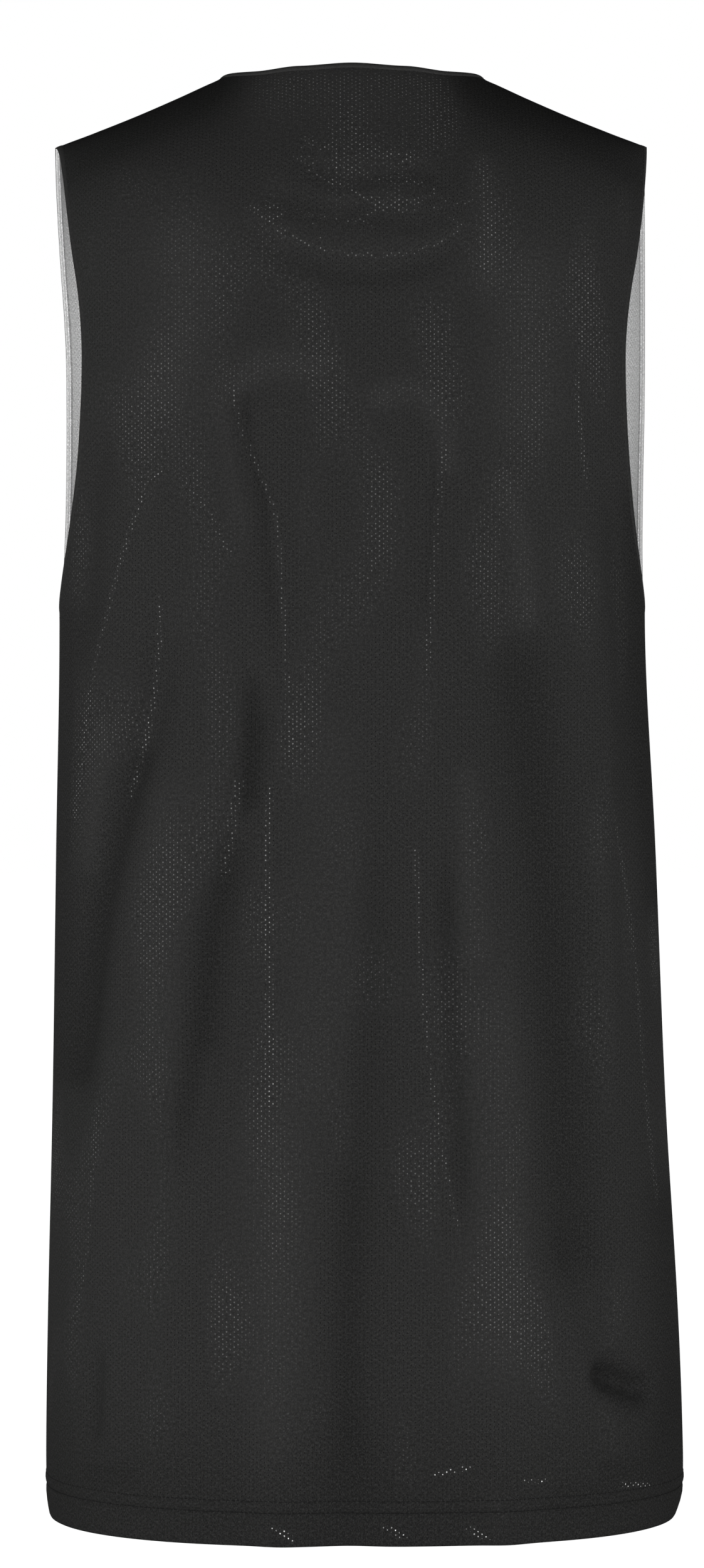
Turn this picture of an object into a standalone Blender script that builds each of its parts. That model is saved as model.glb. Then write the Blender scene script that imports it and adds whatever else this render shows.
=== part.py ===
"""A reversible basketball jersey, filled out as it hangs on a wearer's shoulders, in metres.

+Z is up and the front faces -Y, so +X is the wearer's left. The origin is midway between the shoulders,
at the height where the straps bear on them. The cut is two loose layers, black outside and white inside.
Each layer is a back and a front panel. Both layers end together in turned edges at the neck and armholes,
and each has its own turned-up hem.
"""

from collections import namedtuple
from math import atan2, cos, exp, pi, sin, sqrt

import bmesh
import bpy
from mathutils import Vector

NAME = "basketball_jersey"

# The cloth and how it is finished
WALL = 0.0011  # one layer
LAYER_GAP = 0.0004  # air between the two layers
SEAM_GAP = 0.0003  # between the panels of one layer
EDGE_WIDTH = 0.0060  # rim to topstitching, at the neck and the armholes
EDGE_GAP = 0.0004  # between a turned edge and the panels that run into it
EDGE_CROWN = 0.0004  # how far a turned edge swells between its rim and its stitching
HEM_DEPTH = 0.0256
HEM_WALL = 0.0020
INNER_HEM_RISE = 0.0040  # the white hem is this much shorter than the black one

# Heights above the origin
HEM_Z = -0.822
UNDERARM_Z = -0.290
SPRING_Z = -0.100  # above this the panels curve in towards the shoulders and the neck
TIP_Z = -0.0188  # the outer end of a shoulder seam
NECK_SIDE_Z = 0.0225  # where the neckline crosses a shoulder seam
BASE_DROP = 0.014  # a panel's last straight row passes this far under the armhole

# The neckline and the armholes, on the finished garment
NECK_HALF = 0.0745
NECK_BACK_REACH = 0.085  # how far behind the shoulder seams it runs
SCOOP = 0.108  # the front neckline's drop below the shoulder seams

# Each armhole is two halves of an oval, drawn in towards the shoulder tip: half widths, and the power of
# the drawing in. Sign is +1 on the wearer's left
ARMHOLES = {
    ("back", 1): dict(reach=0.0716, tip=1.35),
    ("back", -1): dict(reach=0.0700, tip=2.0),
    ("front", 1): dict(reach=0.0370, tip=3.0),
    ("front", -1): dict(reach=0.0235, tip=1.0),
}
UNDERARM_POWER = 0.9  # below the middle an armhole is a little fuller than an oval

ROUNDNESS = 2.4  # of a level section: 2 is an ellipse, more is squarer

# Faceting
COLUMNS = 26
NECK_COLUMNS = 14
BODY_ROWS = 8
UPPER_ROWS = 9
EVENING_ROUNDS = 60  # passes that even out the rows and columns between an upper panel's edges

# Level sections, from the hem up: half widths to the wearer's left and right, depths to the back and front
SECTIONS = (
    dict(z=-0.822, left=0.1776, right=0.1898, back=0.149, front=0.145),
    dict(z=-0.807, left=0.1794, right=0.1940, back=0.150, front=0.146),
    dict(z=-0.780, left=0.1799, right=0.1946, back=0.149, front=0.145),
    dict(z=-0.700, left=0.1788, right=0.1916, back=0.148, front=0.143),
    dict(z=-0.580, left=0.1762, right=0.1845, back=0.145, front=0.139),
    dict(z=-0.430, left=0.1741, right=0.1785, back=0.139, front=0.134),
    dict(z=-0.300, left=0.1722, right=0.1724, back=0.135, front=0.131),
    dict(z=-0.150, left=0.1745, right=0.1755, back=0.130, front=0.126),
    dict(z=-0.019, left=0.1752, right=0.1740, back=0.118, front=0.116),
)

# The ridge that the panels rise to over the shoulders. Inside the neckline it is only a guide for their slope
RIDGE = (
    dict(x=-0.0300, z=0.0515),
    dict(x=0.0000, z=0.0620),
    dict(x=0.0300, z=0.0515),
    dict(x=0.0550, z=0.0340),
    dict(x=0.0745, z=NECK_SIDE_Z),
    dict(x=0.0950, z=0.0128),
    dict(x=0.1250, z=-0.0003),
    dict(x=0.1550, z=-0.0118),
    dict(x=0.1752, z=TIP_Z),
)

# The largest folds of the back and the front: they run from one height to another, and depth is inwards
FOLDS = (
    dict(side="back", top=-0.600, foot=-0.960, x_top=-0.008, x_foot=-0.016, width=0.022, depth=0.0055),
    dict(side="back", top=-0.330, foot=-0.560, x_top=0.072, x_foot=0.056, width=0.020, depth=0.0040),
    dict(side="back", top=-0.200, foot=-0.620, x_top=0.092, x_foot=0.150, width=0.018, depth=0.0045),
    dict(side="back", top=-0.210, foot=-0.820, x_top=-0.088, x_foot=-0.156, width=0.019, depth=0.0050),
    dict(side="back", top=-0.450, foot=-0.960, x_top=0.024, x_foot=0.028, width=0.020, depth=-0.0035),
    dict(side="back", top=-0.480, foot=-0.960, x_top=-0.082, x_foot=-0.088, width=0.024, depth=-0.0040),
    dict(side="front", top=-0.240, foot=-0.640, x_top=-0.092, x_foot=-0.140, width=0.019, depth=0.0045),
    dict(side="front", top=-0.230, foot=-0.700, x_top=0.088, x_foot=0.142, width=0.020, depth=0.0045),
    dict(side="front", top=-0.520, foot=-0.960, x_top=0.018, x_foot=0.030, width=0.022, depth=0.0050),
    dict(side="front", top=-0.400, foot=-0.960, x_top=-0.040, x_foot=-0.052, width=0.022, depth=-0.0040),
)
SHARP = 0.7  # radians, between faces shaded apart
FOLD_FADE = 0.090  # a fold's depth grows over this length at each end
SEAM_CALM = 0.86  # share of the half width beyond which folds die out towards a side seam

Side = namedtuple("Side", "name sign")
BACK = Side("back", 1)
FRONT = Side("front", -1)


def mix(start, end, share):
    return start + (end - start) * share


def eased(share):
    share = min(1.0, max(0.0, share))
    return share * share * (3 - 2 * share)


def through(table, key, at, column):
    """The smooth curve through one column of a table, at a value of its key column."""
    at = min(max(at, table[0][key]), table[-1][key])
    k = max(i for i in range(len(table) - 1) if table[i][key] <= at)

    def slope(i):
        low, high = table[max(i - 1, 0)], table[min(i + 1, len(table) - 1)]
        return (high[column] - low[column]) / (high[key] - low[key])

    low, high = table[k], table[k + 1]
    span = high[key] - low[key]
    t = (at - low[key]) / span
    return (
        (1 + 2 * t) * (1 - t) ** 2 * low[column]
        + t * (1 - t) ** 2 * span * slope(k)
        + t * t * (3 - 2 * t) * high[column]
        - t * t * (1 - t) * span * slope(k + 1)
    )


def evenly(points, count):
    """Points at even steps along a polyline, both ends included."""
    run = [0.0]
    for before, after in zip(points, points[1:]):
        run.append(run[-1] + (after - before).length)
    found, k = [], 0
    for step in range(count + 1):
        at = run[-1] * step / count
        while k < len(points) - 2 and run[k + 1] < at:
            k += 1
        found.append(points[k].lerp(points[k + 1], (at - run[k]) / (run[k + 1] - run[k])))
    return found


def half_width(x, z):
    return through(SECTIONS, "z", z, "left" if x > 0 else "right")


def level_depth(side, x, z):
    """How far a panel stands from the plane of the side seams, on the level section at height z."""
    reach = min(1.0, abs(x) / half_width(x, z))
    depth = through(SECTIONS, "z", min(z, SPRING_Z), side.name)
    return depth * (1 - reach**ROUNDNESS) ** (1 / ROUNDNESS)


def rise_at(x):
    return through(RIDGE, "x", abs(x), "z") - SPRING_Z


def depth_at(side, x, z):
    """How far a panel stands from the plane of the seams at a height, with its turn over the shoulder."""
    climb = min(1.0, max(0.0, (z - SPRING_Z) / rise_at(x)))
    return level_depth(side, x, z) * sqrt(1 - climb * climb)


def settled(side, point):
    """The point of a panel's surface nearest to a loose one, at the same x."""
    if point.z <= SPRING_Z:
        return Vector((point.x, side.sign * level_depth(side, point.x, point.z), point.z))
    rise = rise_at(point.x)
    full = max(1e-6, level_depth(side, point.x, point.z))
    angle = atan2((point.z - SPRING_Z) / rise, abs(point.y) / full)
    z = SPRING_Z + rise * sin(angle)
    return Vector((point.x, side.sign * level_depth(side, point.x, z) * cos(angle), z))


def armhole_path(side, sign):
    """One side of the oval armhole, from the side seam up to the shoulder seam."""
    oval = ARMHOLES[side.name, sign]
    path = []
    steps = 80
    for step in range(steps + 1):
        turn = pi * step / steps
        z = mix(UNDERARM_Z, TIP_Z, (1 - cos(turn)) / 2)
        near, far = NECK_HALF, half_width(sign, z)
        power = oval["tip"] if 2 * step > steps else UNDERARM_POWER
        y = oval["reach"] * sin(turn) ** power if 0 < step < steps else 0.0
        for _ in range(40):
            x = (near + far) / 2
            near, far = (x, far) if depth_at(side, sign * x, z) > y else (near, x)
        path.append(Vector((sign * far, side.sign * y, z)))
    return path


def neck_path(side):
    """The neckline from the wearer's right shoulder seam to the left one."""
    path = []
    steps = 160
    for step in range(steps + 1):
        swing = pi * (step / steps - 0.5)
        x = NECK_HALF * sin(swing)
        if side is BACK:
            y = NECK_BACK_REACH * cos(swing)
            climb = sqrt(1 - (y / level_depth(side, x, SPRING_Z)) ** 2)
            path.append(Vector((x, y, SPRING_Z + rise_at(x) * climb)))
        else:
            z = NECK_SIDE_Z - SCOOP * cos(swing)
            path.append(Vector((x, -depth_at(side, x, z), z)))
    for end in (path[0], path[-1]):
        end.y = 0
    return path


def shoulder_path(sign):
    steps = 20
    tip = half_width(sign, TIP_Z)
    xs = [mix(tip, NECK_HALF, step / steps) for step in range(steps + 1)]
    return [Vector((sign * x, 0, through(RIDGE, "x", x, "z"))) for x in xs]


def level_row(side, z):
    row = []
    for i in range(COLUMNS + 1):
        across = 2 * i / COLUMNS - 1
        x = half_width(across, z) * sin(pi / 2 * across)
        row.append(Vector((x, side.sign * level_depth(side, x, z), z)))
    row[0].y = row[-1].y = 0
    return row


def upper_rows(side, foot):
    """The rows above the one at the foot, evened out between the armholes and the top edge."""
    shoulder = (COLUMNS - NECK_COLUMNS) // 2
    right = evenly(armhole_path(side, -1), UPPER_ROWS)
    left = evenly(armhole_path(side, 1), UPPER_ROWS)
    top = evenly(shoulder_path(-1), shoulder)
    top += evenly(neck_path(side), NECK_COLUMNS)[1:]
    top += evenly(shoulder_path(1), shoulder)[-2::-1]
    bottom = [right[0]] + level_row(side, UNDERARM_Z - BASE_DROP)[1:-1] + [left[0]]
    rows = [foot]
    for j in range(UPPER_ROWS + 1):
        up = j / UPPER_ROWS
        row = []
        for i in range(COLUMNS + 1):
            across = i / COLUMNS
            sides = mix(right[j], left[j], across)
            ends = mix(bottom[i], top[i], up)
            corners = mix(mix(right[0], left[0], across), mix(right[-1], left[-1], across), up)
            row.append(sides + ends - corners)
        rows.append(row)
    rows[1], rows[-1] = bottom, top
    for row, right_end, left_end in zip(rows[1:], right, left):
        row[0], row[-1] = right_end, left_end
    for _ in range(EVENING_ROUNDS):
        for j in range(1, len(rows) - 1):
            for i in range(1, COLUMNS):
                above, below = rows[j + 1], rows[j - 1]
                along, up = rows[j][i + 1] - rows[j][i - 1], above[i] - below[i]
                beside = (rows[j][i + 1] + rows[j][i - 1]) * up.length_squared
                upright = (above[i] + below[i]) * along.length_squared
                skew = (above[i + 1] - above[i - 1] - below[i + 1] + below[i - 1]) * (along.dot(up) / 2)
                spread = 2 * (up.length_squared + along.length_squared)
                rows[j][i] = settled(side, (beside + upright - skew) / spread)
    return rows[1:]


def fold_depth(side, x, z):
    total = 0.0
    for fold in FOLDS:
        if fold["side"] != side.name or not fold["foot"] < z < fold["top"]:
            continue
        run = (fold["top"] - z) / (fold["top"] - fold["foot"])
        off = (x - mix(fold["x_top"], fold["x_foot"], run)) / fold["width"]
        ends = eased((fold["top"] - z) / FOLD_FADE) * eased((z - fold["foot"]) / FOLD_FADE)
        total += fold["depth"] * exp(-off * off) * ends
    calm = eased((abs(x) / half_width(x, z) - SEAM_CALM) / (1 - SEAM_CALM))
    return total * (1 - calm)


def normals_of(grid, side):
    """Unit normals facing out of the garment, level across the side and shoulder seams."""
    normals = [[Vector() for _ in line] for line in grid]
    for j in range(len(grid) - 1):
        for i in range(len(grid[0]) - 1):
            one, other = grid[j + 1][i + 1] - grid[j][i], grid[j][i + 1] - grid[j + 1][i]
            for corner in (normals[j][i], normals[j][i + 1], normals[j + 1][i], normals[j + 1][i + 1]):
                corner += one.cross(other) * side.sign
    for line, normal_line in zip(grid, normals):
        for point, normal in zip(line, normal_line):
            if point.y == 0:
                normal.y = 0
            normal.normalize()
    return normals


def panel_grid(side):
    """Rows of a whole panel, finished edge to finished edge, from the hem's foot up, with their normals."""
    foot = UNDERARM_Z - BASE_DROP
    hem_top = HEM_Z + HEM_DEPTH
    grid = [level_row(side, HEM_Z)]
    grid += [level_row(side, mix(hem_top, foot, j / BODY_ROWS)) for j in range(BODY_ROWS)]
    grid += upper_rows(side, grid[-1])
    normals = normals_of(grid, side)
    for line, normal_line in zip(grid, normals):
        for point, normal in zip(line, normal_line):
            point -= normal * fold_depth(side, point.x, point.z)
    return grid, normals_of(grid, side)


def material(name, colour, roughness):
    made = bpy.data.materials.new(name)
    made.use_nodes = True
    shader = made.node_tree.nodes["Principled BSDF"]
    shader.inputs["Base Color"].default_value = (*colour, 1)
    shader.inputs["Roughness"].default_value = roughness
    shader.inputs["Metallic"].default_value = 0
    return made


def wall(name, outside, inside, closed, finish):
    """A cloth wall between two sets of rows. Its edges stay in the plane of a seam, as Solidify's would not."""
    width, height = len(outside[0]), len(outside)
    points = [tuple(p) for rows in (outside, inside) for row in rows for p in row]
    under = width * height
    cells = [(j, i) for j in range(height - 1) for i in range(width if closed else width - 1)]
    faces = []

    def at(j, i):
        return j * width + i % width

    for j, i in cells:
        corners = (at(j, i), at(j, i + 1), at(j + 1, i + 1), at(j + 1, i))
        split = ((0, 1, 2), (0, 2, 3)) if i < width // 2 else ((0, 1, 3), (1, 2, 3))
        for a, b, c in split:
            faces.append((corners[a], corners[b], corners[c]))
            faces.append((under + corners[c], under + corners[b], under + corners[a]))
    rims = [(at(0, i + 1), at(0, i)) for j, i in cells if j == 0]
    rims += [(at(height - 1, i), at(height - 1, i + 1)) for j, i in cells if j == 0]
    if not closed:
        rims += [(at(j, 0), at(j + 1, 0)) for j in range(height - 1)]
        rims += [(at(j + 1, width - 1), at(j, width - 1)) for j in range(height - 1)]
    faces += [(a, b, under + b, under + a) for a, b in rims]
    mesh = bpy.data.meshes.new(name)
    mesh.from_pydata(points, [], faces)
    shape = bmesh.new()
    shape.from_mesh(mesh)
    bmesh.ops.recalc_face_normals(shape, faces=shape.faces)
    shape.to_mesh(mesh)
    shape.free()
    mesh.materials.append(finish)
    mesh.shade_smooth()
    mesh.set_sharp_from_angle(angle=SHARP)
    garment.objects.link(bpy.data.objects.new(name, mesh))


def closed_loop(back, front):
    """A back edge and a front edge as one loop. Both run the same way and share their seam points."""
    return back + front[-2:0:-1]


def inward_of(loop, normals):
    """For each point of an edge's loop, the direction in the cloth that leads away from the opening."""
    centre = sum(loop, Vector()) / len(loop)
    found = []
    for i, (point, normal) in enumerate(zip(loop, normals)):
        along = loop[(i + 1) % len(loop)] - loop[i - 1]
        if point.y == 0:
            along.x = along.z = 0
        direction = normal.cross(along).normalized()
        found.append(direction if direction.dot(point - centre) > 0 else -direction)
    return found


def turned_edge(name, loop, normals, inward, finish):
    """The doubled edge round an opening, from its rim to its line of topstitching."""
    outside, inside = [], []
    for across, swell in ((0, -EDGE_CROWN), (0.45, EDGE_CROWN), (1, 0)):
        line = [p + d * EDGE_WIDTH * across for p, d in zip(loop, inward)]
        outside.append([p + n * swell for p, n in zip(line, normals)])
        inside.append([p - n * (2 * WALL + LAYER_GAP + swell) for p, n in zip(line, normals)])
    wall(name, outside, inside, True, finish)


def panel(name, side, grid, normals, pulled, layer, rise, finish):
    """A panel of one layer. Its edges draw back from the seams, the turned edges and the hem."""
    faces = []
    for depth in (layer, layer + WALL):
        rows = []
        for j in range(1, len(grid)):
            row = []
            for i in range(COLUMNS + 1):
                point = grid[j][i] - normals[j][i] * depth + pulled.get((j, i), Vector())
                if grid[j][i].y == 0:
                    point.y = side.sign * SEAM_GAP / 2
                row.append(point)
            rows.append(row)
        for point in rows[0]:
            point.z += rise + SEAM_GAP
        faces.append(rows)
    wall(name, *faces, False, finish)


def hem(name, grids, layer, rise, finish):
    """A hem turned up all the way round, across the side seams."""
    faces = []
    for depth in (layer, layer + HEM_WALL):
        rows = []
        for j in (0, 1):
            loop = closed_loop(grids[BACK][0][j], grids[FRONT][0][j])
            normals = closed_loop(grids[BACK][1][j], grids[FRONT][1][j])
            lift = Vector((0, 0, rise))
            rows.append([p - n * depth + lift for p, n in zip(loop, normals)])
        faces.append(rows)
    wall(name, *faces, True, finish)


def build():
    grids = {side: panel_grid(side) for side in (BACK, FRONT)}
    black = material("black_mesh", (0.024, 0.024, 0.023), 0.85)
    white = material("white_mesh", (0.62, 0.62, 0.62), 0.85)

    foot_row = BODY_ROWS + 1
    top_row = foot_row + UPPER_ROWS
    shoulder = (COLUMNS - NECK_COLUMNS) // 2
    paths = {
        "neck_edge": [(top_row, i) for i in range(shoulder, COLUMNS - shoulder + 1)],
        "armhole_edge_left": [(j, COLUMNS) for j in range(foot_row, top_row + 1)],
        "armhole_edge_right": [(j, 0) for j in range(foot_row, top_row + 1)],
    }
    pulled = {BACK: {}, FRONT: {}}
    for name, path in paths.items():
        loop, normals = (
            closed_loop(*([grids[side][k][j][i] for j, i in path] for side in (BACK, FRONT)))
            for k in (0, 1)
        )
        inward = inward_of(loop, normals)
        turned_edge(name, loop, normals, inward, black)
        for k, place in enumerate(path):
            pulled[BACK][place] = inward[k] * (EDGE_WIDTH + EDGE_GAP)
            pulled[FRONT][place] = inward[-k % len(loop)] * (EDGE_WIDTH + EDGE_GAP)

    for side in (BACK, FRONT):
        panel(f"outer_{side.name}", side, *grids[side], pulled[side], 0.0, 0.0, black)
        inner = WALL + LAYER_GAP
        panel(f"inner_{side.name}", side, *grids[side], pulled[side], inner, INNER_HEM_RISE, white)
    hem("outer_hem", grids, 0.0, 0.0, black)
    hem("inner_hem", grids, HEM_WALL + LAYER_GAP, INNER_HEM_RISE, white)


for old in list(bpy.data.objects):
    bpy.data.objects.remove(old)
garment = bpy.data.collections.new(NAME)
bpy.context.scene.collection.children.link(garment)
build()
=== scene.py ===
"""A reversible basketball jersey of two layers of mesh, filled out as worn and seen from behind."""

from math import pi, radians

import bpy
import numpy as np
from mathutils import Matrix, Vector


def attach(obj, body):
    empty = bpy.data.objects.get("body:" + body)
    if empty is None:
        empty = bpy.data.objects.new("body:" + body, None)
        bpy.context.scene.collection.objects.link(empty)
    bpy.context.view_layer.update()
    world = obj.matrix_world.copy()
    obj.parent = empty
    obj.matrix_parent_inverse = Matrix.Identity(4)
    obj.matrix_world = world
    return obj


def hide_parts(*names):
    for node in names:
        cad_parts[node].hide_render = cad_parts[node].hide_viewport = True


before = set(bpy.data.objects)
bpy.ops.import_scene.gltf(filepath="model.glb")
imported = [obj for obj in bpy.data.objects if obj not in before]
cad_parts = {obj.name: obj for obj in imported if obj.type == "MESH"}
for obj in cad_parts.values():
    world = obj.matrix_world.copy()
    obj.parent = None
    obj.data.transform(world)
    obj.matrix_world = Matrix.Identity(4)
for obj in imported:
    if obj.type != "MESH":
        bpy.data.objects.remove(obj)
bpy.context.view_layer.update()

# The camera stands three metres behind the jersey, level with the middle of it.
scene = bpy.context.scene
scene.view_settings.view_transform = "Standard"
camera_distance = 3.0
middle_z = -0.394  # halfway between the hem and the neck
view_height = 0.925  # what the frame takes in at the side seams
camera_data = bpy.data.cameras.new("camera")
camera_data.sensor_width = 36
camera_data.lens = camera_data.sensor_width * camera_distance / view_height
camera = bpy.data.objects.new("camera", camera_data)
camera.location = (0, camera_distance, middle_z)
camera.rotation_euler = (pi / 2, 0, pi)
scene.collection.objects.link(camera)
scene.camera = camera


class Socket:
    """An output of a shader's nodes. Sums on it add Math nodes, and node() adds any other kind."""

    def __init__(self, tree, link=None):
        self.tree, self.link = tree, link

    def node(self, kind, settings, inputs, output=0):
        made = self.tree.nodes.new("ShaderNode" + kind)
        for name, value in settings.items():
            setattr(made, name, value)
        for name, value in inputs.items():
            if isinstance(value, Socket):
                self.tree.links.new(value.link, made.inputs[name])
            else:
                made.inputs[name].default_value = value
        return Socket(self.tree, made.outputs[output] if made.outputs else None)

    def maths(self, operation, *others):
        return self.node("Math", {"operation": operation}, dict(enumerate((self, *others))))

    def __add__(self, other):
        return self.maths("ADD", other)

    def __sub__(self, other):
        return self.maths("SUBTRACT", other)

    def __rsub__(self, other):
        return self.node("Math", {"operation": "SUBTRACT"}, {0: other, 1: self})

    def __mul__(self, other):
        return self.maths("MULTIPLY", other)

    def __truediv__(self, other):
        return self.maths("DIVIDE", other)

    __radd__, __rmul__ = __add__, __mul__

    def eased(self, start, end):
        """0 up to start, 1 from end on, and a soft step between them."""
        settings = {"interpolation_type": "SMOOTHSTEP"}
        return self.node("MapRange", settings, {"Value": self, "From Min": start, "From Max": end})

    def blend(self, low, high):
        """The colour low where this is 0 and high where it is 1."""
        colours = [c if isinstance(c, Socket) else (*c, 1) for c in (low, high)]
        return self.node("Mix", {"data_type": "RGBA"}, {0: self, 6: colours[0], 7: colours[1]}, 2)


def begin(block):
    """Clears a new material's or world's nodes and returns a socket to build them from."""
    block.use_nodes = True
    block.node_tree.nodes.clear()
    return Socket(block.node_tree)


# The studio has a pale floor well below the hem, white walls and six soft lamps: two behind the jersey,
# two before it and one at each side. None stands above its middle by much, so the tops of the shoulders
# stay dark. Floor and walls are white to look at, but light the cloth only dimly.
seen_straight = "Is Camera Ray"
bpy.ops.mesh.primitive_circle_add(vertices=64, radius=60, fill_type="NGON", location=(0, 0, -1.5))
floor = bpy.context.object
floor.name = "floor"
floor_paint = bpy.data.materials.new("floor_paint")
tree = begin(floor_paint)
shine = tree.node("LightPath", {}, {}, seen_straight).blend((0.20, 0.20, 0.20), (1, 1, 1))
paint = tree.node("BsdfPrincipled", {}, {
    "Base Color": (0.3, 0.3, 0.3, 1), "Roughness": 0.9, "Emission Color": shine, "Emission Strength": 1.0,
})
tree.node("OutputMaterial", {}, {"Surface": paint})
floor.data.materials.append(floor_paint)

surround = bpy.data.worlds.new("surround")
tree = begin(surround)
outward = tree.node("TexCoord", {}, {}, "Generated")
height = tree.node("SeparateXYZ", {}, {"Vector": outward}, "Z")
walls = height.eased(0.0, 0.5).blend((0.42, 0.42, 0.42), (0.18, 0.18, 0.18))
walls = tree.node("LightPath", {}, {}, seen_straight).blend(walls, (1, 1, 1))
light = tree.node("Background", {}, {"Color": walls, "Strength": 1.0})
tree.node("OutputWorld", {}, {"Surface": light})
scene.world = surround

for name, place, size, power in (  # metres across, and watts
    ("back_key_lamp", (0.9, 2.2, -0.60), 0.7, 34),
    ("back_fill_lamp", (-1.0, 2.2, -0.60), 0.7, 25),
    ("left_side_lamp", (2.3, 0.6, -0.35), 0.9, 36),
    ("right_side_lamp", (-2.3, 0.6, -0.35), 0.9, 36),
    ("front_key_lamp", (-0.9, -2.2, -0.60), 0.7, 36),
    ("front_fill_lamp", (1.0, -2.2, -0.60), 0.7, 26),
):
    lamp_data = bpy.data.lights.new(name, "AREA")
    lamp_data.shape = "DISK"
    lamp_data.size = size
    lamp_data.energy = power
    lamp = bpy.data.objects.new(name, lamp_data)
    lamp.location = place
    away = Vector((place[0], place[1], place[2] - middle_z))
    lamp.rotation_euler = away.to_track_quat("Z", "Y").to_euler()
    lamp.visible_camera = False
    scene.collection.objects.link(lamp)

# ---------------------------------------------------------------------------------------------
# The outer layer is a back and a front panel of black polyester mesh, each cut in one piece and
# joined at the side and shoulder seams. Filled out, they make a tube that turns in over the
# shoulders. The front has the deeper neckline.
# ---------------------------------------------------------------------------------------------

WALL = 0.0011  # one layer of cloth
LAYER_GAP = 0.0004  # air between the two layers

HEM_Z = -0.822  # heights from the straps' resting place on the shoulders
HEM_DEPTH = 0.0256
UNDERARM_Z = -0.290
SPRING_Z = -0.100  # above this the panels curve in towards the shoulders and the neck
TIP_Z = -0.0188  # the outer end of a shoulder seam
BASE_DROP = 0.014  # a panel's last straight row passes this far under the armhole

NECK_HALF = 0.0745
NECK_SIDE_Z = 0.0225  # where the neckline crosses a shoulder seam
NECK_BACK_REACH = 0.085  # how far behind the shoulder seams it runs
SCOOP = 0.108  # the front neckline's drop below the shoulder seams

BACK, FRONT = 1, -1  # a side is also the sign of its y
SIDE_NAMES = {BACK: "back", FRONT: "front"}

# Each armhole is two halves of an oval, drawn in towards the shoulder tip: half widths, and the power of
# the drawing in. The second key is +1 on the wearer's left
ARMHOLES = {
    (BACK, 1): (0.0716, 1.35),
    (BACK, -1): (0.0700, 2.0),
    (FRONT, 1): (0.0370, 3.0),
    (FRONT, -1): (0.0235, 1.0),
}
UNDERARM_POWER = 0.9  # below the middle an armhole is a little fuller than an oval

# Level sections, from the hem up: half widths to the wearer's left and right, depths back and front
SECTIONS = np.array([
    # height, left, right, back, front
    (-0.822, 0.1776, 0.1898, 0.149, 0.145),
    (-0.807, 0.1794, 0.1940, 0.150, 0.146),
    (-0.780, 0.1799, 0.1946, 0.149, 0.145),
    (-0.700, 0.1788, 0.1916, 0.148, 0.143),
    (-0.580, 0.1762, 0.1845, 0.145, 0.139),
    (-0.430, 0.1741, 0.1785, 0.139, 0.134),
    (-0.300, 0.1722, 0.1724, 0.135, 0.131),
    (-0.150, 0.1745, 0.1755, 0.130, 0.126),
    (-0.019, 0.1752, 0.1740, 0.118, 0.116),
])
LEFT, RIGHT = 1, 2  # columns of the sections
DEPTH = {BACK: 3, FRONT: 4}
ROUNDNESS = 2.4  # of a level section: 2 is an ellipse, more is squarer

# The ridge that the panels rise to over the shoulders, out from the middle. Inside the neckline it
# only guides their slope
RIDGE = np.array([
    (-0.0300, 0.0515),
    (0.0000, 0.0620),
    (0.0300, 0.0515),
    (0.0550, 0.0340),
    (0.0745, 0.0225),
    (0.0950, 0.0128),
    (0.1250, -0.0003),
    (0.1550, -0.0118),
    (0.1752, -0.0188),
])


def through(table, at, column):
    """The smooth curve through one column of a table, at values of its first column."""
    keys, values = table[:, 0], table[:, column]
    slopes = np.empty(len(keys))
    slopes[1:-1] = (values[2:] - values[:-2]) / (keys[2:] - keys[:-2])
    slopes[0] = (values[1] - values[0]) / (keys[1] - keys[0])
    slopes[-1] = (values[-1] - values[-2]) / (keys[-1] - keys[-2])
    at = np.clip(at, keys[0], keys[-1])
    k = np.clip(np.searchsorted(keys, at, side="right") - 1, 0, len(keys) - 2)
    span = keys[k + 1] - keys[k]
    t = (at - keys[k]) / span
    return (
        (1 + 2 * t) * (1 - t) ** 2 * values[k]
        + t * (1 - t) ** 2 * span * slopes[k]
        + t * t * (3 - 2 * t) * values[k + 1]
        - t * t * (1 - t) * span * slopes[k + 1]
    )


def eased(share):
    share = np.clip(share, 0, 1)
    return share * share * (3 - 2 * share)


def half_width(x, z):
    return np.where(x > 0, through(SECTIONS, z, LEFT), through(SECTIONS, z, RIGHT))


def level_depth(side, x, z):
    """How far a panel stands from the plane of the side seams, on the level section at height z."""
    reach = np.minimum(1, np.abs(x) / half_width(x, z))
    depth = through(SECTIONS, np.minimum(z, SPRING_Z), DEPTH[side])
    return depth * (1 - reach**ROUNDNESS) ** (1 / ROUNDNESS)


def rise_at(x):
    return through(RIDGE, np.abs(x), 1) - SPRING_Z


def depth_at(side, x, z):
    """How far a panel stands from the plane of the seams, with its turn over the shoulder."""
    climb = np.clip((z - SPRING_Z) / rise_at(x), 0, 1)
    return level_depth(side, x, z) * np.sqrt(1 - climb * climb)


def settled(side, points):
    """The points of a panel's surface nearest to loose ones, at the same x."""
    x, y, z = points[..., 0], points[..., 1], points[..., 2]
    rise = rise_at(x)
    angle = np.arctan2((z - SPRING_Z) / rise, np.abs(y) / np.maximum(1e-6, level_depth(side, x, z)))
    turned = SPRING_Z + rise * np.sin(angle)
    high = np.where(z > SPRING_Z, turned, z)
    depth = level_depth(side, x, high) * np.where(z > SPRING_Z, np.cos(angle), 1)
    return np.stack([x, side * depth, high], -1)


def evenly(points, count):
    """Points at even steps along a polyline, both ends included."""
    run = np.r_[0, np.cumsum(np.linalg.norm(np.diff(points, axis=0), axis=1))]
    at = np.linspace(0, run[-1], count + 1)
    return np.stack([np.interp(at, run, points[:, k]) for k in range(3)], -1)


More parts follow.
